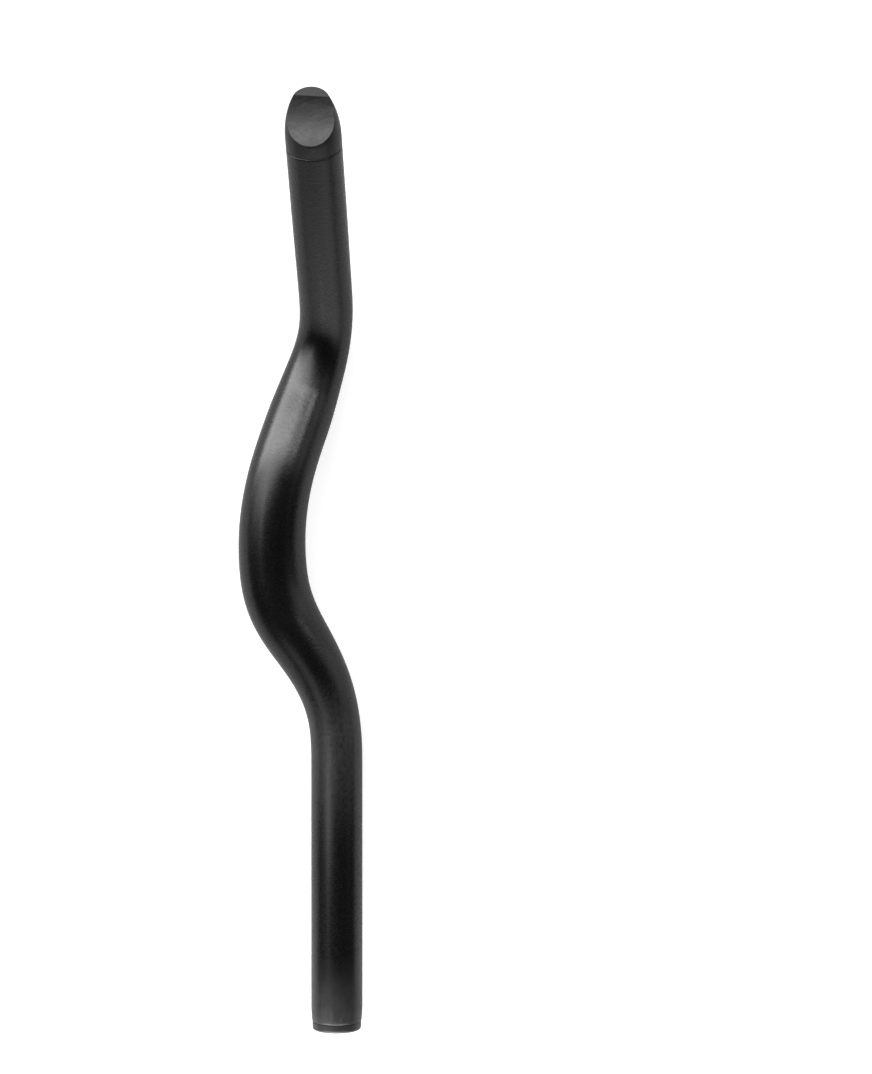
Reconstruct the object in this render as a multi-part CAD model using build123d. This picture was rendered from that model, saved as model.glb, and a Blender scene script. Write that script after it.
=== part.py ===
from build123d import *

import math
import os

# Aero handlebar extension, left-hand bar: a hollow moulded tube with a cap in its front end and a plug in its rear.
# Millimetres and degrees. +Y is forward, +Z is up, and the origin is on the clamp zone's axis, halfway along it.
# Places along the bar are distances on its centreline.

OUTBOARD = -1  # the bar bows towards -X

# Rear straight of the tube, which the clamp holds
CLAMP_DIAMETER = 22.2
STRAIGHT_LENGTH = 110.0
WALL = 2.0
CROWN_LENGTH = 7.0  # the tube's rear end draws in over this length
CROWN_DROP = 0.5
REAR_EDGE = 0.6  # rounding of the rim next to the plug
SEAM_EDGE = 0.3  # rounding of the rim next to the cap

# Section along the grip: the length of each change, and the diameter that it ends at
SWELL_DELAY = 15.1  # the tube keeps its clamp diameter this far past the straight
SWELL_LENGTH = 68.5
SWELL_DIAMETER = 29.1
SHOULDER_LENGTH = 71.3
SHOULDER_DIAMETER = 27.6
NECK_LENGTH = 49.1
NECK_DIAMETER = 22.8
TIP_LENGTH = 82.4  # from the neck to the seam with the cap
TIP_DIAMETER = 23.2

# Bends: the distance from the end of the straight to the bend's start, its length and its turn
OUT_BEND_START = 0.0
OUT_BEND_LENGTH = 59.3
OUT_BEND_TURN = 32.4
RETURN_BEND_START = 56.3
RETURN_BEND_LENGTH = 100.0
RETURN_BEND_TURN = 32.4
TIGHT_BEND_START = 59.6  # the return bend is sharper here
TIGHT_BEND_LENGTH = 34.0
TIGHT_BEND_TURN = 18.4
TIP_BEND_START = 180.2
TIP_BEND_LENGTH = 41.0
TIP_BEND_TURN = 21.2
RISE_START = 168.0
RISE_LENGTH = 46.0
RISE_TURN = 36.0

# The underside is level up to the neck, apart from an arch under the grip, which climbs slowly and falls faster
ARCH_HEIGHT = 6.4
ARCH_CLIMB_START = 68.0
ARCH_CLIMB_LENGTH = 62.0
ARCH_FALL_START = 131.0
ARCH_FALL_LENGTH = 42.0

# Front cap
COLLAR_LENGTH = 5.0  # straight part of the nose, next to the seam
NOSE_KNEE = 17.5  # from the seam to where the taper's end slopes would meet
NOSE_LENGTH = 21.9  # from the seam to the flat front, along the axis
BLANK_EXTRA = 5.1  # the turned nose carries on this far past its flat front, before the front is cut
BLANK_END_DIAMETER = 8.8
FRONT_LEAN = 18.0  # the front leans back towards the top
FRONT_TURN = 2.7  # and turns inboard
NOSE_EDGE = 0.4  # rounding of the thumb rest's rim and the flat front
THUMB_REST_RADIUS = 50.0
THUMB_REST_START = 6.0  # from the seam, along the top of the nose
THUMB_REST_LIP = -1.1  # height of its front lip above the axis
THUMB_REST_ROLL = 4.8  # turned outboard about the bar's axis
SEAM_BREAK = 0.35  # chamfer of the collar, which makes the seam a fine groove

# Rear plug
FLANGE_DIAMETER = 21.2
FLANGE_THICKNESS = 3.4
FLANGE_EDGE = 1.2

# Ribbed shanks of the cap and the plug
SHANK_CLEARANCE = 0.1  # on the radius, between a rib and the bore
SHANK_WALL = 1.8
CAP_SHANK_LENGTH = 18.0
PLUG_SHANK_LENGTH = 20.0
RIB_HEIGHT = 0.5
RIB_WIDTH = 1.6
RIB_PITCH = 4.0
LEAD_IN = 1.0  # chamfer of the shank's inner end

# Steps along the centreline
WALK_STEP = 0.5
SECTION_SPACING = 7.0

CLAMP_RADIUS = CLAMP_DIAMETER / 2
CLAMP_MIDDLE = (CROWN_LENGTH + STRAIGHT_LENGTH) / 2
SWELL_START = STRAIGHT_LENGTH + SWELL_DELAY
SWELL_END = SWELL_START + SWELL_LENGTH
SHOULDER_END = SWELL_END + SHOULDER_LENGTH
NECK = SHOULDER_END + NECK_LENGTH
SOCKET_LENGTH = CAP_SHANK_LENGTH + LEAD_IN  # straight front end of the tube, round the cap's shank
SOCKET_START = NECK + TIP_LENGTH - SOCKET_LENGTH
TIP_RADIUS = TIP_DIAMETER / 2
BLANK_LENGTH = NOSE_LENGTH + BLANK_EXTRA

# Half section of a turned piece: x out from the axis through the underside, y along the axis
TURNING_PLANE = Plane(origin=(0, 0, 0), x_dir=(0, -1, 0), z_dir=(-1, 0, 0))


def ease(distance, start, length):
    """Share of a smooth change, from 0 before its start to 1 after its end."""
    share = min(max((distance - start) / length, 0.0), 1.0)
    return share * share * (3 - 2 * share)


def outer_radius(distance):
    """Radius of the tube at a distance from its rear end."""
    diameter = CLAMP_DIAMETER
    diameter += (SWELL_DIAMETER - CLAMP_DIAMETER) * ease(distance, SWELL_START, SWELL_LENGTH)
    diameter += (SHOULDER_DIAMETER - SWELL_DIAMETER) * ease(distance, SWELL_END, SHOULDER_LENGTH)
    diameter += (NECK_DIAMETER - SHOULDER_DIAMETER) * ease(distance, SHOULDER_END, NECK_LENGTH)
    diameter += (TIP_DIAMETER - NECK_DIAMETER) * ease(distance, NECK, SOCKET_START - NECK)
    return diameter / 2


def heading(distance):
    """Turn of the centreline seen from above, outboard from straight ahead."""
    past = distance - STRAIGHT_LENGTH
    out = OUT_BEND_TURN * ease(past, OUT_BEND_START, OUT_BEND_LENGTH)
    back = RETURN_BEND_TURN * ease(past, RETURN_BEND_START, RETURN_BEND_LENGTH)
    tight = TIGHT_BEND_TURN * ease(past, TIGHT_BEND_START, TIGHT_BEND_LENGTH)
    tip = TIP_BEND_TURN * ease(past, TIP_BEND_START, TIP_BEND_LENGTH)
    return out - back - tight + tip


def lift(distance):
    """Height of the centreline that keeps the underside level, with the arch added."""
    past = distance - STRAIGHT_LENGTH
    climb = ease(past, ARCH_CLIMB_START, ARCH_CLIMB_LENGTH)
    fall = ease(past, ARCH_FALL_START, ARCH_FALL_LENGTH)
    return outer_radius(min(distance, NECK)) - CLAMP_RADIUS + ARCH_HEIGHT * (climb - fall)


def pitch(distance):
    """Slope of the centreline above level."""
    climb = (lift(distance + WALK_STEP) - lift(distance - WALK_STEP)) / (2 * WALK_STEP)
    rise = RISE_TURN * ease(distance - STRAIGHT_LENGTH, RISE_START, RISE_LENGTH)
    return math.degrees(math.atan(climb)) + rise


def direction(distance):
    """Direction of the centreline, as a unit vector."""
    turn = math.radians(heading(distance))
    slope = math.radians(pitch(distance))
    sideways = OUTBOARD * math.sin(turn) * math.cos(slope)
    forward = math.cos(turn) * math.cos(slope)
    return Vector(sideways, forward, math.sin(slope))


def square_plane(point, distance):
    """Plane square to the centreline, with x level and y towards the top of the bar."""
    along = direction(distance)
    level = Vector(0, 0, 1).cross(along).normalized()
    return Plane(origin=point, x_dir=level, z_dir=along)


def section_planes(start, end):
    """Pairs of a distance and the plane square to the centreline there, evenly spaced from start to end."""
    count = max(2, round((end - start) / SECTION_SPACING))
    spacing = (end - start) / count
    steps = max(1, round(spacing / WALK_STEP))
    step = spacing / steps
    point = Vector(0, start - CLAMP_MIDDLE, 0)
    planes = [(start, square_plane(point, start))]
    for section in range(count):
        here = start + section * spacing
        for walked in range(steps):
            point += direction(here + (walked + 0.5) * step) * step
        planes.append((here + spacing, square_plane(point, here + spacing)))
    return planes


def outer_end_edge(tube, end):
    """The larger circle at one end of a turned tube along Z: 0 for the start, -1 for the far end."""
    return tube.edges().group_by(Axis.Z)[end].sort_by(SortBy.LENGTH)[-1:]


def rear_straight():
    """Rear of the tube along Z, from its drawn-in end to the first bend."""
    bore = CLAMP_RADIUS - WALL
    end_radius = CLAMP_RADIUS - CROWN_DROP
    halfway_radius = CLAMP_RADIUS - CROWN_DROP / 4
    with BuildSketch(TURNING_PLANE) as profile:
        with BuildLine():
            ThreePointArc((end_radius, 0), (halfway_radius, CROWN_LENGTH / 2), (CLAMP_RADIUS, CROWN_LENGTH))
            Polyline(
                (CLAMP_RADIUS, CROWN_LENGTH),
                (CLAMP_RADIUS, STRAIGHT_LENGTH),
                (bore, STRAIGHT_LENGTH),
                (bore, 0),
                (end_radius, 0),
            )
        make_face()
    return fillet(outer_end_edge(revolve(profile.sketch, Axis.Z), 0), REAR_EDGE)


def front_socket():
    """Straight front end of the tube along Z, which takes the cap's shank and ends at the seam."""
    ring = Circle(TIP_RADIUS) - Circle(TIP_RADIUS - WALL)
    return fillet(outer_end_edge(extrude(ring, SOCKET_LENGTH), -1), SEAM_EDGE)


def bar_loft(planes, inset):
    """Solid through a round section on each plane, smaller than the tube by the inset."""
    return loft([plane * Circle(outer_radius(distance) - inset) for distance, plane in planes])


def ribbed_shank(bore_radius, length):
    """Hollow shank that pushes into a bore along -Z from its seat, with sawtooth ribs that grip the bore."""
    rib_radius = bore_radius - SHANK_CLEARANCE
    core_radius = rib_radius - RIB_HEIGHT
    inside_radius = core_radius - SHANK_WALL
    rib_count = int((length - LEAD_IN - RIB_WIDTH) / RIB_PITCH)
    with BuildSketch(TURNING_PLANE) as profile:
        with BuildLine():
            Polyline(
                (inside_radius, 0),
                (core_radius, 0),
                (core_radius, LEAD_IN - length),
                (core_radius - LEAD_IN, -length),
                (inside_radius, -length),
                close=True,
            )
        make_face()
        for rib in range(rib_count):
            outer_end = -RIB_PITCH * (rib + 1) + RIB_WIDTH
            with BuildLine():
                Polyline(
                    (inside_radius, outer_end),
                    (rib_radius, outer_end),
                    (rib_radius, outer_end - RIB_WIDTH / 2),
                    (core_radius, outer_end - RIB_WIDTH),
                    (inside_radius, outer_end - RIB_WIDTH),
                    close=True,
                )
            make_face()
    return revolve(profile.sketch, Axis.Z)


def nose_blank():
    """Turned nose of the cap along Z from the seam: a collar and a rounded taper."""
    end_radius = BLANK_END_DIAMETER / 2
    with BuildSketch(TURNING_PLANE) as profile:
        with BuildLine():
            Polyline(
                (end_radius, BLANK_LENGTH),
                (0, BLANK_LENGTH),
                (0, 0),
                (TIP_RADIUS - SEAM_BREAK, 0),
                (TIP_RADIUS, SEAM_BREAK),
                (TIP_RADIUS, COLLAR_LENGTH),
            )
            Bezier((TIP_RADIUS, COLLAR_LENGTH), (TIP_RADIUS, NOSE_KNEE), (end_radius, BLANK_LENGTH))
        make_face()
    return revolve(profile.sketch, Axis.Z)


def thumb_rest_cutter():
    """Cylinder across the nose whose underside is the thumb rest, from its start on top to its front lip."""
    chord = Vector(0, THUMB_REST_LIP - TIP_RADIUS, NOSE_LENGTH - THUMB_REST_START)
    middle = Vector(0, (TIP_RADIUS + THUMB_REST_LIP) / 2, (THUMB_REST_START + NOSE_LENGTH) / 2)
    away = Vector(0, chord.Z, -chord.Y).normalized()
    centre = middle + away * math.sqrt(THUMB_REST_RADIUS**2 - (chord.length / 2) ** 2)
    return Pos(centre) * Cylinder(THUMB_REST_RADIUS, 2 * TIP_DIAMETER, rotation=(0, 90, 0))


def front_end_cap():
    """Cap along Z from the seam: the nose with its flat front and thumb rest, and the shank behind it."""
    front_plane = Plane(origin=(0, 0, NOSE_LENGTH)).rotated((-FRONT_LEAN, OUTBOARD * FRONT_TURN, 0))
    nose = split(nose_blank(), bisect_by=front_plane, keep=Keep.BOTTOM) - thumb_rest_cutter()
    thumb_rest = nose.faces().filter_by(GeomType.CYLINDER).sort_by(Axis.Z)[-1]
    front = nose.faces().filter_by(GeomType.PLANE).sort_by(Axis.Z)[-1]
    rim = ShapeList(set(thumb_rest.edges()) | set(front.edges()))
    rounded_nose = Rot(0, 0, OUTBOARD * THUMB_REST_ROLL) * fillet(rim, NOSE_EDGE)
    return rounded_nose + ribbed_shank(TIP_RADIUS - WALL, CAP_SHANK_LENGTH)


def rear_end_plug():
    """Plug along Z from the tube's rear end: a flange with a rounded edge, and the shank behind it."""
    flange = extrude(Circle(FLANGE_DIAMETER / 2), FLANGE_THICKNESS)
    return fillet(outer_end_edge(flange, -1), FLANGE_EDGE) + ribbed_shank(CLAMP_RADIUS - WALL, PLUG_SHANK_LENGTH)


rear_end = Vector(0, -CLAMP_MIDDLE, 0)
grip_planes = section_planes(STRAIGHT_LENGTH, SOCKET_START)
socket_plane = grip_planes[-1][1]
seam_plane = socket_plane.offset(SOCKET_LENGTH)
grip = bar_loft(grip_planes, 0) - bar_loft(grip_planes, WALL)

nodes = {
    "extension_tube": square_plane(rear_end, 0) * rear_straight() + grip + socket_plane * front_socket(),
    "front_end_cap": seam_plane * front_end_cap(),
    "rear_end_plug": Plane(origin=rear_end, x_dir=(1, 0, 0), z_dir=(0, -1, 0)) * rear_end_plug(),
}

os.makedirs("parts", exist_ok=True)
for name, solid in nodes.items():
    export_step(solid, f"parts/{name}.step")
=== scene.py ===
"""Studio scene of an aero handlebar extension lying on a pale floor, seen from above.

Everything is in metres and in the part's own frame: +Y forward, +Z up, -X outboard, with the origin on the axis of
the straight clamp zone. The tube is rebuilt from the rule that shapes it, the plug is turned, and the cap is a
smoothed copy.
"""

from __future__ import annotations

import logging
import math
from abc import ABC, abstractmethod
from dataclasses import dataclass, field, fields
from enum import Enum
from typing import Any, Union

import bmesh
import bpy
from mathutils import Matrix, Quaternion, Vector


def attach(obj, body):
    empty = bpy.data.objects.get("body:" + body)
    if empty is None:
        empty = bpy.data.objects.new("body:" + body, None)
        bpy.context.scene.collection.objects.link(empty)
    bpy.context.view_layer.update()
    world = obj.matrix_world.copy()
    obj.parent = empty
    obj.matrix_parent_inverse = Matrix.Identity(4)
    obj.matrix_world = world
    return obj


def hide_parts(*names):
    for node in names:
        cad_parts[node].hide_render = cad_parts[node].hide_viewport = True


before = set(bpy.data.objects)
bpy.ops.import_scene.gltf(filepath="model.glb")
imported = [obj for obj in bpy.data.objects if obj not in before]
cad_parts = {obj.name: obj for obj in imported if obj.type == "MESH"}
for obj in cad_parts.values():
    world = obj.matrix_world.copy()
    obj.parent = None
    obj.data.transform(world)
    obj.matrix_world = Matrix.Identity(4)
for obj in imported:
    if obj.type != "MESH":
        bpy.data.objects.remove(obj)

log = logging.getLogger("extension")

BODY = "root"
SHARP_ANGLE = 40.0  # In degrees: edges that turn by more than this stay sharp.
WHITE = (1.0, 1.0, 1.0, 1.0)


class Op(Enum):
    """Operations of a Math node that the expressions use."""

    ADD = "ADD"
    SUBTRACT = "SUBTRACT"
    MULTIPLY = "MULTIPLY"
    DIVIDE = "DIVIDE"
    POWER = "POWER"
    MINIMUM = "MINIMUM"
    MAXIMUM = "MAXIMUM"
    SINE = "SINE"
    COSINE = "COSINE"
    ARCTANGENT = "ARCTANGENT"


class Blend(Enum):
    """Ways to put two colours together."""

    MIX = "MIX"
    ADD = "ADD"


Number = Union[float, "Value"]


class Value:
    """A socket in a node tree; arithmetic on it adds Math nodes to the same tree."""

    def __init__(self, nodes: Nodes, socket: bpy.types.NodeSocket) -> None:
        """Wraps a socket.

        Args:
            nodes: The builder of the tree that the socket is in.
            socket: An output socket.
        """
        self.nodes = nodes
        self.socket = socket

    def math(self, op: Op, *others: Number, first: bool = True) -> Value:
        """Adds one Math node.

        Args:
            op: What the node works out.
            others: Its other inputs.
            first: Whether this value is the first input, or the second.

        Returns:
            The node's result.
        """
        terms = [self, *others] if first else [*others, self]
        return self.nodes.add("ShaderNodeMath", {"operation": op.value}, dict(enumerate(terms)))

    def __add__(self, other: Number) -> Value:
        """Sum."""
        return self.math(Op.ADD, other)

    __radd__ = __add__

    def __sub__(self, other: Number) -> Value:
        """Difference."""
        return self.math(Op.SUBTRACT, other)

    def __rsub__(self, other: Number) -> Value:
        """Difference from a number."""
        return self.math(Op.SUBTRACT, other, first=False)

    def __mul__(self, other: Number) -> Value:
        """Product."""
        return self.math(Op.MULTIPLY, other)

    __rmul__ = __mul__

    def __truediv__(self, other: Number) -> Value:
        """Quotient."""
        return self.math(Op.DIVIDE, other)

    def __pow__(self, power: float) -> Value:
        """Power."""
        return self.math(Op.POWER, power)

    def least(self, other: Number) -> Value:
        """The smaller of this and another value."""
        return self.math(Op.MINIMUM, other)

    def most(self, other: Number) -> Value:
        """The larger of this and another value."""
        return self.math(Op.MAXIMUM, other)

    def sine(self) -> Value:
        """Sine of an angle in radians."""
        return self.math(Op.SINE)

    def cosine(self) -> Value:
        """Cosine of an angle in radians."""
        return self.math(Op.COSINE)

    def ramp(self, start: Number, end: Number, low: Number = 0.0, high: Number = 1.0, smooth: bool = True) -> Value:
        """A clamped change from low at start to high at end.

        Args:
            start: The value where the change begins.
            end: The value where it is complete.
            low: The result before the change.
            high: The result after it.
            smooth: Whether the change eases in and out.

        Returns:
            The changed value.
        """
        settings = {"interpolation_type": "SMOOTHSTEP" if smooth else "LINEAR"}
        return self.nodes.add("ShaderNodeMapRange", settings, dict(enumerate((self, start, end, low, high))))


class Nodes:
    """Builds one node tree."""

    def __init__(self, tree: bpy.types.NodeTree) -> None:
        """Takes the tree to build, as it is."""
        self.tree = tree

    def node(self, kind: str, settings: dict[str, Any], inputs: dict[Any, Any]) -> bpy.types.Node:
        """Adds a node of any type.

        Args:
            kind: The node's type.
            settings: Properties, set before its sockets.
            inputs: Values, links or None for each input, by name or number.

        Returns:
            The node.
        """
        made = self.tree.nodes.new(kind)
        for name, setting in settings.items():
            setattr(made, name, setting)
        for key, given in inputs.items():
            if isinstance(given, Value):
                self.tree.links.new(given.socket, made.inputs[key])
            elif given is not None:
                made.inputs[key].default_value = given
        return made

    def add(self, kind: str, settings: dict[str, Any] | None = None, inputs: dict[Any, Any] | None = None,
            output: Any = 0) -> Value:
        """Adds a node and takes one of its outputs.

        Args:
            kind: The node's type.
            settings: Properties, set before its sockets.
            inputs: Values or links for its inputs, by name or number.
            output: The output's name or number.

        Returns:
            That output.
        """
        return Value(self, self.node(kind, settings or {}, inputs or {}).outputs[output])

    def vector(self, x: Number, y: Number, z: Number) -> Value:
        """A vector from its three parts."""
        return self.add("ShaderNodeCombineXYZ", inputs={0: x, 1: y, 2: z})

    def noise(self, place: Value, scale: float, detail: float, falloff: float) -> Value:
        """Noise from 0 to 1.

        Args:
            place: Where it is taken.
            scale: Its waves to the metre.
            detail: How many finer layers lie on the first.
            falloff: Strength of each layer as a share of the one before.

        Returns:
            The noise.
        """
        return self.add("ShaderNodeTexNoise", inputs={
            "Vector": place, "Scale": scale, "Detail": detail, "Roughness": falloff})

    def blend(self, share: Value, first: Any, second: Any, way: Blend = Blend.MIX) -> Value:
        """Puts two colours together.

        Args:
            share: Share of the second colour.
            first: The first colour or link.
            second: The second colour or link.
            way: How the second goes onto the first.

        Returns:
            The resulting colour.
        """
        return self.add("ShaderNodeMix", {"data_type": "RGBA", "blend_type": way.value},
                        {0: share, 6: first, 7: second}, output=2)


def new_object(name: str, data: bpy.types.ID) -> bpy.types.Object:
    """Puts a mesh, a lamp or a camera into the scene at the origin.

    Args:
        name: The object's name.
        data: Its mesh, lamp or camera.

    Returns:
        The object.
    """
    made = bpy.data.objects.new(name, data)
    bpy.context.scene.collection.objects.link(made)
    return made


def settle(piece: bpy.types.Object, sharp_angle: float) -> bpy.types.Object:
    """Turns a piece and its modifiers into a plain, smooth mesh.

    Args:
        piece: The object, whose modifiers are removed.
        sharp_angle: Edges that turn by more than this stay sharp, in degrees.

    Returns:
        The same object.
    """
    graph = bpy.context.evaluated_depsgraph_get()
    mesh = bpy.data.meshes.new_from_object(piece.evaluated_get(graph), depsgraph=graph)
    piece.modifiers.clear()
    piece.data = mesh
    mesh.name = piece.name
    return smooth(piece, sharp_angle)


def smooth(piece: bpy.types.Object, sharp_angle: float) -> bpy.types.Object:
    """Shades a piece smooth, apart from edges that turn by more than an angle in degrees."""
    piece.data.shade_smooth()
    piece.data.set_sharp_from_angle(angle=math.radians(sharp_angle))
    return piece


@dataclass(frozen=True)
class DullSheenBand:
    """A band along Y that is rougher and has a painted sheen: grey added to the colour in place of reflected light.

    Attributes:
        rise: Y where the band starts, and where it is full.
        fall: Y where it starts to fade, and where it is gone.
        extra: Roughness that it adds.
        painted_sheen: Grey that it adds to the colour, a painted sheen in place of reflected light.
    """

    rise: tuple[float, float]
    fall: tuple[float, float]
    extra: float
    # Grey added to the colour: painted sheen standing in for reflected light.
    painted_sheen: float

    def share(self, along: Value) -> Value:
        """How much of the band's roughness and painted sheen there is at a place along Y, from 0 to 1."""
        return along.ramp(*self.rise) * along.ramp(*self.fall, 1.0, 0.0)


@dataclass(frozen=True)
class MouldedBlack:
    """Black moulded surface with a fine grain on a coarser one, rougher in bands that also carry a painted sheen.

    Attributes:
        name: The material's name.
        colour: Linear base colour of the surface.
        roughness: Its roughness outside the rougher bands.
        fine: Width and height of the fine grain, in metres.
        coarse: Width and height of the coarse grain, in metres.
        mottle: Share by which roughness and colour wander over the surface.
        gloss: Specular level.
        dull_sheen_bands: Bands that add roughness and a painted sheen.
        uneven: Width and height of the waves that moulding left, in metres.
    """

    GRAIN_DETAIL = 2.0
    GRAIN_FALLOFF = 0.6
    CLOUD_SCALE = 90.0
    CLOUD_DETAIL = 4.0
    CLOUD_FALLOFF = 0.55
    CLOUD_IN_ROUGHNESS = 0.5
    PATCH_CONTRAST = 1.2
    PATCH_MEAN = 0.65

    name: str
    colour: tuple[float, float, float]
    roughness: float
    fine: tuple[float, float]
    coarse: tuple[float, float]
    mottle: float
    gloss: float
    dull_sheen_bands: tuple[DullSheenBand, ...] = ()
    uneven: tuple[float, float] = (0.01, 0.00001)

    def material(self) -> bpy.types.Material:
        """Builds the material.

        Returns:
            The finished material.
        """
        made = bpy.data.materials.new(self.name)
        made.use_nodes = True
        nodes = Nodes(made.node_tree)
        shader = made.node_tree.nodes["Principled BSDF"]
        place = nodes.add("ShaderNodeTexCoord", output="Object")
        fine, coarse, uneven = (nodes.noise(place, 1 / width, self.GRAIN_DETAIL, self.GRAIN_FALLOFF)
                                for width, _ in (self.fine, self.coarse, self.uneven))
        relief = fine * self.fine[1] + coarse * self.coarse[1] + uneven * self.uneven[1]
        bump = nodes.add("ShaderNodeBump", inputs={"Strength": 1.0, "Distance": 1.0, "Height": relief})
        cloud = nodes.noise(place, self.CLOUD_SCALE, self.CLOUD_DETAIL, self.CLOUD_FALLOFF)
        wander = (cloud - 0.5) * (2 * self.mottle)
        speck = (coarse - 0.5) * (2 * self.mottle)
        dark = (*(c * (1 - self.mottle) for c in self.colour), 1.0)
        light = (*(c * (1 + self.mottle) for c in self.colour), 1.0)
        colour = nodes.blend((wander + speck + 0.5).ramp(0.0, 1.0, smooth=False), dark, light)
        roughness = self.roughness * (1 + wander * self.CLOUD_IN_ROUGHNESS + speck)
        along = nodes.add("ShaderNodeSeparateXYZ", inputs={0: place}, output="Y")
        patchy = (fine + coarse - 1) * self.PATCH_CONTRAST + self.PATCH_MEAN
        # Each band adds roughness, and grey in the colour as painted sheen in place of reflected light.
        for band in self.dull_sheen_bands:
            share = band.share(along) * patchy
            roughness = roughness + share * band.extra
            colour = nodes.blend(share, colour, (band.painted_sheen, band.painted_sheen, band.painted_sheen, 1.0), Blend.ADD)
        made.node_tree.links.new(colour.socket, shader.inputs["Base Color"])
        made.node_tree.links.new(roughness.socket, shader.inputs["Roughness"])
        made.node_tree.links.new(bump.socket, shader.inputs["Normal"])
        shader.inputs["Specular IOR Level"].default_value = self.gloss
        return made


# Near the rear end the tube is rougher and has a painted sheen: grey in the colour brightens it as light from close
# behind would.
REAR_END_DULL_AND_SHEEN = DullSheenBand(rise=(-0.2, -0.1), fall=(-0.056, -0.026), extra=0.25, painted_sheen=0.016)
# Over the front of the clamp zone the tube is rougher and has a painted highlight: grey in the colour brightens the
# top where a lamp's reflection falls.
CLAMP_ZONE_DULL_AND_SHEEN = DullSheenBand(rise=(0.014, 0.060), fall=(0.068, 0.095), extra=0.06, painted_sheen=0.027)
SATIN_TUBE = MouldedBlack(
    name="satin_tube", colour=(0.002, 0.002, 0.0021), roughness=0.27, fine=(0.0005, 0.000034),
    coarse=(0.0015, 0.000028), mottle=0.14, gloss=0.625, dull_sheen_bands=(REAR_END_DULL_AND_SHEEN, CLAMP_ZONE_DULL_AND_SHEEN))
MATTE_CAP = MouldedBlack(
    name="matte_cap", colour=(0.003, 0.003, 0.0031), roughness=0.36, fine=(0.0005, 0.00003),
    coarse=(0.0016, 0.00004), mottle=0.25, gloss=0.5, uneven=(0.005, 0.00014))
SMOOTH_PLUG = MouldedBlack(
    name="smooth_plug", colour=(0.01, 0.01, 0.0103), roughness=0.42, fine=(0.0004, 0.00001),
    coarse=(0.001, 0.00001), mottle=0.12, gloss=0.625)


class CadPiece(ABC):
    """A visible piece that stands for one node of the CAD model.

    Attributes:
        node: The CAD node.
        slot: The material slot that its finish belongs to; not used.
    """

    node: str
    slot: str

    @abstractmethod
    def build(self) -> bpy.types.Object:
        """Makes the piece's object."""

    def dress(self) -> bpy.types.Object:
        """Builds the piece and lets it stand for its CAD node.

        Returns:
            The piece.
        """
        made = self.build()
        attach(made, BODY)
        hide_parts(self.node)
        return made


@dataclass(frozen=True)
class TubeSizes:
    """Sizes of the tube, in metres, and its turns, in degrees; places along it are distances on its centreline."""

    clamp_diameter: float = 0.0222
    straight_length: float = 0.110
    crown_length: float = 0.007
    crown_drop: float = 0.0005
    swell_delay: float = 0.0151
    swell_length: float = 0.0685
    swell_diameter: float = 0.0291
    shoulder_length: float = 0.0713
    shoulder_diameter: float = 0.0276
    neck_length: float = 0.0491
    neck_diameter: float = 0.0228
    tip_length: float = 0.0824
    tip_diameter: float = 0.0232
    socket_length: float = 0.019
    out_bend_start: float = 0.0
    out_bend_length: float = 0.0593
    out_bend_turn: float = 32.4
    return_bend_start: float = 0.0563
    return_bend_length: float = 0.100
    return_bend_turn: float = 32.4
    tight_bend_start: float = 0.0596
    tight_bend_length: float = 0.034
    tight_bend_turn: float = 18.4
    tip_bend_start: float = 0.1802
    tip_bend_length: float = 0.041
    tip_bend_turn: float = 21.2
    rise_start: float = 0.168
    rise_length: float = 0.046
    rise_turn: float = 36.0
    arch_height: float = 0.0064
    arch_climb_start: float = 0.068
    arch_climb_length: float = 0.062
    arch_fall_start: float = 0.131
    arch_fall_length: float = 0.042

    @property
    def length(self) -> float:
        """Length of the centreline, from the rear end to the seam."""
        grip = self.swell_delay + self.swell_length + self.shoulder_length + self.neck_length
        return self.straight_length + grip + self.tip_length

    @property
    def rear_end(self) -> float:
        """Y of the tube's rear end."""
        return -(self.crown_length + self.straight_length) / 2


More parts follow.
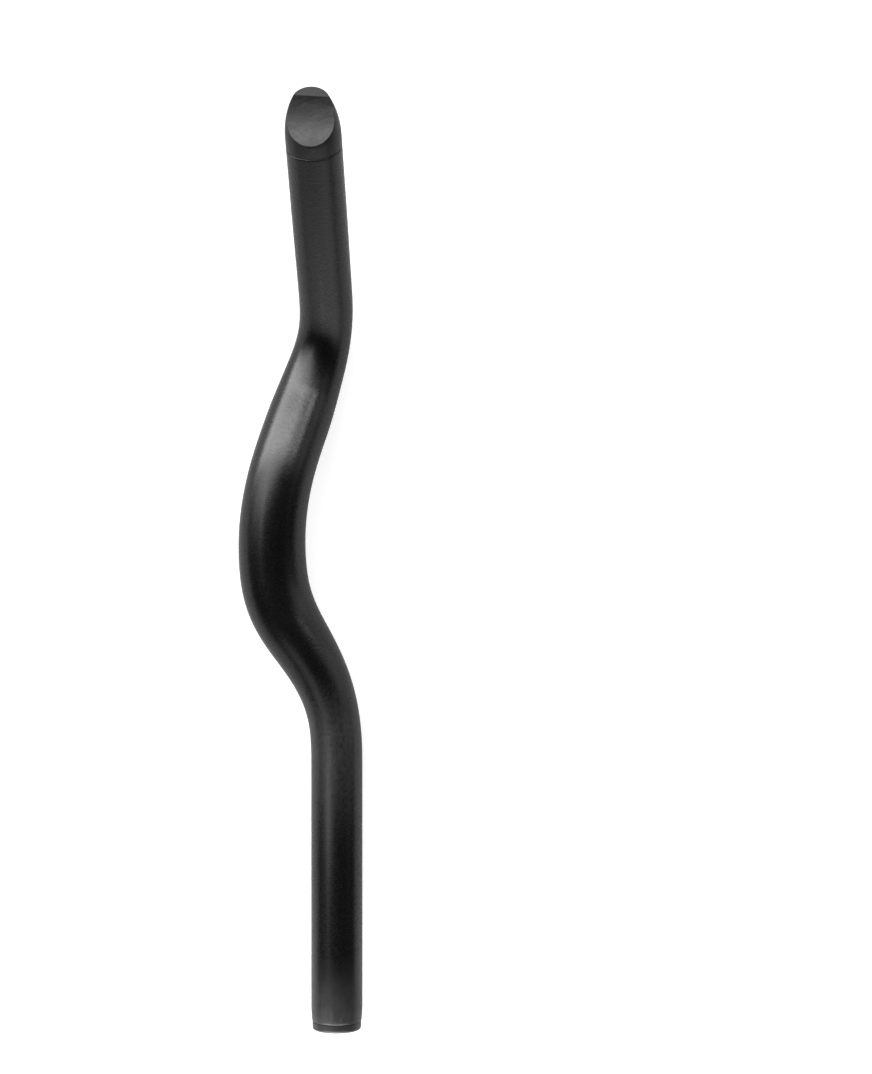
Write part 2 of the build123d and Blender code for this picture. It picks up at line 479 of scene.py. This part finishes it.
class TubeRule:
    """The rule that shapes the tube, as expressions in a Geometry Nodes tree."""

    SLOPE_STEP = 0.0005

    def __init__(self, sizes: dict[str, Value]) -> None:
        """Takes the tree's inputs, by the names of the sizes."""
        self.size = sizes
        swell_start = sizes["straight_length"] + sizes["swell_delay"]
        self.swell = (swell_start, sizes["swell_length"])
        self.shoulder = (swell_start + sizes["swell_length"], sizes["shoulder_length"])
        self.neck = (self.shoulder[0] + sizes["shoulder_length"], sizes["neck_length"])
        self.neck_end = self.neck[0] + sizes["neck_length"]
        self.tip = (self.neck_end, sizes["tip_length"] - sizes["socket_length"])

    @staticmethod
    def eased(distance: Value, span: tuple[Value, Value]) -> Value:
        """Share of a smooth change over a span, given by its start and length."""
        return distance.ramp(span[0], span[0] + span[1])

    def radius(self, distance: Value) -> Value:
        """Radius of the tube.

        Args:
            distance: Distance from the rear end.

        Returns:
            The radius there, without the drawn-in rear end.
        """
        size = self.size
        diameter = size["clamp_diameter"]
        before = diameter
        for name in ("swell", "shoulder", "neck", "tip"):
            after = size[f"{name}_diameter"]
            diameter = diameter + (after - before) * self.eased(distance, getattr(self, name))
            before = after
        return diameter * 0.5

    def drawn_in(self, distance: Value) -> Value:
        """How far the surface is drawn in near the rear end."""
        return self.size["crown_drop"] * (1 - distance / self.size["crown_length"]).most(0.0) ** 2

    def bend(self, distance: Value, name: str) -> Value:
        """Turn of one bend up to a distance past the straight, in radians."""
        size = self.size
        turn = size[f"{name}_turn"] * math.radians(1)
        return turn * self.eased(distance, (size[f"{name}_start"], size[f"{name}_length"]))

    def lift(self, distance: Value) -> Value:
        """Height of the centreline that keeps the underside level, with the arch under the grip added.

        Args:
            distance: Distance from the rear end.

        Returns:
            Height above the clamp zone's axis.
        """
        size = self.size
        past = distance - size["straight_length"]
        climb = self.eased(past, (size["arch_climb_start"], size["arch_climb_length"]))
        fall = self.eased(past, (size["arch_fall_start"], size["arch_fall_length"]))
        level = self.radius(distance.least(self.neck_end)) - size["clamp_diameter"] * 0.5
        return level + size["arch_height"] * (climb - fall)

    def direction(self, distance: Value) -> tuple[Value, Value, Value]:
        """Direction of the centreline.

        Args:
            distance: Distance from the rear end.

        Returns:
            Its parts along X, Y and Z.
        """
        past = distance - self.size["straight_length"]
        heading = self.bend(past, "out_bend") - self.bend(past, "return_bend")
        heading = heading - self.bend(past, "tight_bend") + self.bend(past, "tip_bend")
        step = self.SLOPE_STEP
        climb = (self.lift(distance + step) - self.lift(distance - step)) / (2 * step)
        pitch = climb.math(Op.ARCTANGENT) + self.bend(past, "rise")
        level = pitch.cosine()
        return -1 * heading.sine() * level, heading.cosine() * level, pitch.sine()


@dataclass
class Tube(CadPiece):
    """The one-piece tube: clamp zone, bends, swelling grip and raised tip."""

    ROUND_PROFILE = 0.5

    node: str = "extension_tube"
    slot: str = "moulded_tube"
    sizes: TubeSizes = field(default_factory=TubeSizes)
    finish: MouldedBlack = SATIN_TUBE
    wall: float = 0.002
    rear_edge: float = 0.0006
    seam_edge: float = 0.0003
    edge_segments: int = 4
    rings: int = 300
    sides: int = 96

    def tree(self) -> tuple[bpy.types.NodeTree, dict[str, str]]:
        """Builds the Geometry Nodes tree that sweeps the tube along its centreline.

        Returns:
            The tree, and the identifiers of its inputs by name.
        """
        tree = bpy.data.node_groups.new("tube_sweep", "GeometryNodeTree")
        tree.interface.new_socket("Geometry", in_out="OUTPUT", socket_type="NodeSocketGeometry")
        nodes = Nodes(tree)
        names = [size.name for size in fields(self.sizes)] + ["length", "rear_end"]
        kinds = {name: "NodeSocketFloat" for name in names}
        kinds |= {"rings": "NodeSocketInt", "sides": "NodeSocketInt", "finish": "NodeSocketMaterial"}
        sockets = {name: tree.interface.new_socket(name, in_out="INPUT", socket_type=kind)
                   for name, kind in kinds.items()}
        given = tree.nodes.new("NodeGroupInput")
        size = {name: Value(nodes, given.outputs[name]) for name in kinds}

        rule = TubeRule(size)
        line = nodes.add("GeometryNodeCurvePrimitiveLine", inputs={"End": (0.0, 1.0, 0.0)})
        path = nodes.add("GeometryNodeResampleCurve", {"mode": "COUNT"}, {"Curve": line, "Count": size["rings"]})
        step = size["length"] / (size["rings"] - 1)
        distance = nodes.add("GeometryNodeInputIndex") * step
        ahead = nodes.vector(*(part * step for part in rule.direction(distance + step * 0.5)))
        walked = nodes.add("GeometryNodeAccumulateField", {"data_type": "FLOAT_VECTOR", "domain": "POINT"},
                           {"Value": ahead}, output="Trailing")
        start = nodes.vector(0.0, size["rear_end"], 0.0)
        spot = nodes.add("ShaderNodeVectorMath", {"operation": "ADD"}, {0: walked, 1: start})
        path = nodes.add("GeometryNodeSetPosition", inputs={"Geometry": path, "Position": spot})
        round_section = nodes.add("GeometryNodeCurvePrimitiveCircle",
                                  inputs={"Resolution": size["sides"], "Radius": 1.0})
        skin = nodes.add("GeometryNodeCurveToMesh", inputs={
            "Curve": path, "Profile Curve": round_section,
            "Scale": rule.radius(distance) - rule.drawn_in(distance)})
        skin = nodes.add("GeometryNodeRealizeInstances", inputs={"Geometry": skin})
        skin = nodes.add("GeometryNodeSetMaterial", inputs={"Geometry": skin, "Material": size["finish"]})
        nodes.node("NodeGroupOutput", {}, {"Geometry": skin})
        return tree, {name: socket.identifier for name, socket in sockets.items()}

    def build(self) -> bpy.types.Object:
        """Makes the tube's skin and gives it its wall.

        Returns:
            The tube, as a plain mesh.
        """
        tree, identifiers = self.tree()
        made = new_object("tube", bpy.data.meshes.new("tube"))
        sweep = made.modifiers.new("sweep", "NODES")
        sweep.node_group = tree
        values = {size.name: getattr(self.sizes, size.name) for size in fields(self.sizes)}
        values |= {"length": self.sizes.length, "rear_end": self.sizes.rear_end}
        values |= {"rings": self.rings, "sides": self.sides, "finish": self.finish.material()}
        for name, value in values.items():
            sweep[identifiers[name]] = value
        wall = made.modifiers.new("wall", "SOLIDIFY")
        wall.thickness = self.wall
        wall.offset = -1.0
        wall.use_even_offset = True
        return self.round_rims(settle(made, SHARP_ANGLE))

    def round_rims(self, made: bpy.types.Object) -> bpy.types.Object:
        """Rounds the outer rim of each end, next to the plug and next to the cap.

        Args:
            made: The tube with its wall.

        Returns:
            The same tube.
        """
        shape = bmesh.new()
        shape.from_mesh(made.data)
        sharp = [edge for edge in shape.edges if edge.calc_face_angle(0.0) > math.radians(SHARP_ANGLE)]
        for at_rear, width in ((True, self.rear_edge), (False, self.seam_edge)):
            rims = [edge for edge in sharp if edge.is_valid and (edge.verts[0].co.y < 0.0) == at_rear]
            middle = sum((edge.verts[0].co for edge in rims), Vector()) / len(rims)
            reach = [(edge.verts[0].co - middle).length for edge in rims]
            halfway = (min(reach) + max(reach)) / 2
            outer = [edge for edge, away in zip(rims, reach) if away > halfway]
            bmesh.ops.bevel(shape, geom=outer, offset=width, offset_type="OFFSET", segments=self.edge_segments,
                            profile=self.ROUND_PROFILE, affect="EDGES")
        shape.to_mesh(made.data)
        shape.free()
        return smooth(made, SHARP_ANGLE)


@dataclass
class FrontCap(CadPiece):
    """The cap in the tube's front end, with its thumb rest: the CAD solid, merged and smoothed."""

    node: str = "front_end_cap"
    slot: str = "tip_cap"
    finish: MouldedBlack = MATTE_CAP
    merge: float = 0.000002
    sharp_angle: float = 30.0

    def build(self) -> bpy.types.Object:
        """Copies the CAD mesh, merges it and smooths it.

        Returns:
            The cap.
        """
        shape = bmesh.new()
        shape.from_mesh(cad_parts[self.node].data)
        bmesh.ops.remove_doubles(shape, verts=shape.verts[:], dist=self.merge)
        mesh = bpy.data.meshes.new("front_cap")
        shape.to_mesh(mesh)
        shape.free()
        mesh.materials.clear()
        mesh.materials.append(self.finish.material())
        made = new_object("front_cap", mesh)
        normals = made.modifiers.new("normals", "WEIGHTED_NORMAL")
        normals.keep_sharp = True
        return smooth(made, self.sharp_angle)


@dataclass
class RearPlug(CadPiece):
    """The turned plug in the tube's rear end: a flange with a rounded edge and a hollow ribbed shank."""

    node: str = "rear_end_plug"
    slot: str = "end_plug"
    finish: MouldedBlack = SMOOTH_PLUG
    seat: float = -0.0585
    flange_radius: float = 0.0106
    flange_thickness: float = 0.0034
    flange_edge: float = 0.0012
    seat_break: float = 0.00015
    rib_radius: float = 0.009
    core_radius: float = 0.0085
    inside_radius: float = 0.0067
    shank_length: float = 0.020
    lead_in: float = 0.001
    rib_width: float = 0.0016
    rib_pitch: float = 0.004
    rib_count: int = 4
    edge_segments: int = 6
    sides: int = 96
    merge: float = 0.000001

    def profile(self) -> list[tuple[float, float]]:
        """Half section of the plug, from the middle of its rear face round to the hollow.

        Returns:
            Radius and depth into the tube of each corner.
        """
        corner = (self.flange_radius - self.flange_edge, self.flange_edge - self.flange_thickness)
        turns = [math.pi / 2 * step / self.edge_segments for step in range(self.edge_segments + 1)]
        line = [(0.0, -self.flange_thickness)]
        line += [(corner[0] + self.flange_edge * math.sin(turn), corner[1] - self.flange_edge * math.cos(turn))
                 for turn in turns]
        line += [(self.flange_radius, -self.seat_break), (self.flange_radius - self.seat_break, 0.0)]
        line += [(self.core_radius, 0.0)]
        for rib in range(self.rib_count):
            inner_end = self.rib_pitch * (rib + 1)
            outer_end = inner_end - self.rib_width
            line += [(self.core_radius, outer_end), (self.rib_radius, outer_end)]
            line += [(self.rib_radius, outer_end + self.rib_width / 2), (self.core_radius, inner_end)]
        line += [(self.core_radius, self.shank_length - self.lead_in)]
        line += [(self.core_radius - self.lead_in, self.shank_length), (self.inside_radius, self.shank_length)]
        return line + [(self.inside_radius, 0.0), (0.0, 0.0)]

    def build(self) -> bpy.types.Object:
        """Turns the profile round the clamp zone's axis.

        Returns:
            The plug.
        """
        shape = bmesh.new()
        corners = [shape.verts.new((radius, self.seat + depth, 0.0)) for radius, depth in self.profile()]
        line = [shape.edges.new(pair) for pair in zip(corners, corners[1:])]
        bmesh.ops.spin(shape, geom=corners + line, cent=(0.0, 0.0, 0.0), axis=(0.0, 1.0, 0.0),
                       angle=2 * math.pi, steps=self.sides)
        bmesh.ops.remove_doubles(shape, verts=shape.verts[:], dist=self.merge)
        bmesh.ops.recalc_face_normals(shape, faces=shape.faces[:])
        mesh = bpy.data.meshes.new("rear_plug")
        shape.to_mesh(mesh)
        shape.free()
        mesh.materials.append(self.finish.material())
        return smooth(new_object("rear_plug", mesh), SHARP_ANGLE)


@dataclass(frozen=True)
class Softbox:
    """A soft lamp, either a large one far from the bar or a small card close to it.

    Attributes:
        name: The lamp's name.
        azimuth: Its direction from the bar, from straight ahead towards +X, in degrees.
        elevation: Its height above the floor, in degrees.
        half_width: Half the angle that its level side takes up, in degrees.
        half_height: Half the angle that its other side takes up, in degrees.
        radiance: How bright its face is, where 1 is white.
        roll: Its turn about the line to the bar, in degrees.
        distance: Its distance from the point that it faces.
        aim: The point that it faces.
        fade: Share of each half side over which its edge fades.
    """

    name: str
    azimuth: float
    elevation: float
    half_width: float
    half_height: float
    radiance: float
    roll: float = 0.0
    distance: float = 2.5
    aim: tuple[float, float, float] = (-0.02, 0.13, 0.0)
    fade: float = 1.0

    def fade_edges(self, lamp: bpy.types.AreaLight) -> None:
        """Fades the lamp's face towards its edges, as a diffuser does."""
        lamp.use_nodes = True
        nodes = Nodes(lamp.node_tree)
        face = nodes.add("ShaderNodeNewGeometry", output="Parametric")
        fades = []
        for side in ("X", "Y"):
            across = nodes.add("ShaderNodeSeparateXYZ", inputs={0: face}, output=side)
            from_edge = (across * 2).least(2 - across * 2)
            fades.append(from_edge.ramp(0.0, self.fade))
        strength = fades[0] * fades[1]
        lamp.node_tree.links.new(strength.socket, lamp.node_tree.nodes["Emission"].inputs["Strength"])

    def build(self) -> bpy.types.Object:
        """Places the lamp and aims it.

        Returns:
            The lamp.
        """
        lamp = bpy.data.lights.new(self.name, "AREA")
        lamp.shape = "RECTANGLE"
        lamp.size = 2 * self.distance * math.tan(math.radians(self.half_width))
        lamp.size_y = 2 * self.distance * math.tan(math.radians(self.half_height))
        lamp.energy = self.radiance * math.pi * lamp.size * lamp.size_y
        self.fade_edges(lamp)
        made = new_object(self.name, lamp)
        turn, tilt = math.radians(self.azimuth), math.radians(self.elevation)
        away = Vector((math.sin(turn) * math.cos(tilt), math.cos(turn) * math.cos(tilt), math.sin(tilt)))
        made.location = Vector(self.aim) + away * self.distance
        rolled = Quaternion((0.0, 0.0, 1.0), math.radians(self.roll))
        made.rotation_euler = (away.to_track_quat("Z", "Y") @ rolled).to_euler()
        made.visible_camera = False
        return made


@dataclass
class Studio:
    """Pale floor, soft lamps, dim surroundings and the camera.

    Attributes:
        floor_height: Z of the floor, which the bar lies on.
        floor_reach: Half the floor's side.
        floor_colour: Grey of the floor.
        floor_dark: Share of that grey that its darkest clouds keep.
        floor_clouds: Noise at the darkest and at the palest clouds.
        floor_noise: Scale, detail and falloff of that noise.
        floor_seen: Glow of the floor as the camera sees it.
        floor_mirrored: Its glow in reflections.
        horizon_light: Strength of the surroundings at the horizon.
        overhead_light: Their strength overhead.
        horizon_reach: Upward part of the direction at which they are as dim as overhead.
        camera_place: Where the camera is.
        lens: Its focal length, in millimetres.
        sensor: Width of its sensor, in millimetres.
        near_clip: Distance from which it sees.
        lamps: Lamps and cards round the bar.
    """

    floor_height: float = -0.0111
    floor_reach: float = 1.6
    floor_colour: float = 0.52
    floor_dark: float = 0.985
    floor_clouds: tuple[float, float] = (0.3, 0.7)
    floor_noise: tuple[float, float, float] = (3.0, 2.0, 0.5)
    floor_seen: float = 0.78
    floor_mirrored: float = 0.05
    horizon_light: float = 0.25
    overhead_light: float = 0.003
    horizon_reach: float = 0.2
    camera_place: tuple[float, float, float] = (0.043, 0.1514, 1.0)
    lens: float = 77.3
    sensor: float = 36.0
    near_clip: float = 0.01
    lamps: tuple[Softbox, ...] = (
        Softbox("key", -55.8, 8.2, 23.7, 50.0, 7.6, roll=20.0),
        Softbox("left_strip", -61.0, 52.0, 23.7, 50.0, 3.4, roll=33.0),
        Softbox("left_top", -92.0, 53.0, 13.0, 8.5, 2.6, roll=12.0),
        Softbox("front_strip", -12.8, 56.8, 50.0, 8.0, 11.2, roll=-30.0),
        Softbox("front_fill", -5.0, 9.0, 24.0, 11.0, 5.5),
        Softbox("rear_fill", 178.0, 5.0, 62.0, 34.0, 1.8, roll=6.0),
        Softbox("right_fill", 78.0, 17.0, 17.5, 36.0, 0.95, roll=18.6),
        Softbox("right_top", 60.0, 46.5, 6.0, 13.0, 11.9, roll=-34.0),
        Softbox("rear_card", 192.0, 28.0, 55.0, 27.0, 13.0, distance=0.09, aim=(0.0, -0.0585, 0.0)),
        Softbox("side_card", -90.0, 56.0, 17.5, 30.0, 1.0, distance=0.113, aim=(-0.0035, 0.017, 0.0105)),
    )

    def floor_material(self) -> bpy.types.Material:
        """Pale floor that the camera sees as white and that keeps the bar's shadow.

        Returns:
            The floor's material.
        """
        made = bpy.data.materials.new("pale_floor")
        made.use_nodes = True
        tree = made.node_tree
        nodes = Nodes(tree)
        tree.nodes.remove(tree.nodes["Principled BSDF"])
        place = nodes.add("ShaderNodeTexCoord", output="Object")
        cloud = nodes.noise(place, *self.floor_noise)
        dark = self.floor_colour * self.floor_dark
        shade = cloud.ramp(*self.floor_clouds, dark, self.floor_colour, smooth=False)
        paper = nodes.add("ShaderNodeBsdfDiffuse", inputs={"Color": shade})
        light_path = nodes.node("ShaderNodeLightPath", {}, {})
        seen, mirrored, through = (Value(nodes, light_path.outputs[name]) for name in (
            "Is Camera Ray", "Is Glossy Ray", "Is Transmission Ray"))
        strength = seen * self.floor_seen + (mirrored + through) * self.floor_mirrored
        glow = nodes.add("ShaderNodeEmission", inputs={"Color": WHITE, "Strength": strength})
        face = nodes.add("ShaderNodeAddShader", inputs={0: paper, 1: glow})
        tree.links.new(face.socket, tree.nodes["Material Output"].inputs["Surface"])
        return made

    def floor(self) -> bpy.types.Object:
        """Lays the floor under the bar.

        Returns:
            The floor.
        """
        shape = bmesh.new()
        bmesh.ops.create_grid(shape, x_segments=2, y_segments=2, size=self.floor_reach)
        bmesh.ops.translate(shape, verts=shape.verts[:], vec=(0.0, 0.0, self.floor_height))
        mesh = bpy.data.meshes.new("floor")
        shape.to_mesh(mesh)
        shape.free()
        mesh.materials.append(self.floor_material())
        made = new_object("floor", mesh)
        return made

    def surroundings(self) -> bpy.types.World:
        """White to the camera, and for the light pale near the horizon and dim overhead.

        Returns:
            The world.
        """
        world = bpy.data.worlds.new("studio")
        world.use_nodes = True
        nodes = Nodes(world.node_tree)
        backdrop = world.node_tree.nodes["Background"]
        backdrop.inputs["Color"].default_value = WHITE
        way = nodes.add("ShaderNodeTexCoord", output="Generated")
        height = nodes.add("ShaderNodeSeparateXYZ", inputs={0: way}, output="Z")
        seen = nodes.add("ShaderNodeLightPath", output="Is Camera Ray")
        lit = height.ramp(0.0, self.horizon_reach, self.horizon_light, self.overhead_light)
        strength = seen.ramp(0.0, 1.0, lit, 1.0, smooth=False)
        world.node_tree.links.new(strength.socket, backdrop.inputs["Strength"])
        bpy.context.scene.world = world
        return world

    def camera(self) -> bpy.types.Object:
        """Camera high above the bar, looking straight down with forward at the top of the picture.

        Returns:
            The camera.
        """
        lens = bpy.data.cameras.new("camera")
        lens.lens = self.lens
        lens.sensor_width = self.sensor
        lens.clip_start = self.near_clip
        made = new_object("camera", lens)
        made.location = self.camera_place
        bpy.context.scene.camera = made
        return made

    def build(self) -> None:
        """Builds the floor, the lamps, the surroundings and the camera."""
        self.floor()
        for lamp in self.lamps:
            lamp.build()
        self.surroundings()
        self.camera()
        bpy.context.scene.view_settings.view_transform = "Standard"


def main() -> None:
    """Builds the bar and its studio."""
    logging.basicConfig(level=logging.INFO, format="%(name)s: %(message)s")
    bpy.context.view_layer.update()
    pieces = (Tube(), FrontCap(), RearPlug())
    for piece in pieces:
        made = piece.dress()
        log.info("%s: %d faces", made.name, len(made.data.polygons))
    Studio().build()


if __name__ == "__main__":
    main()
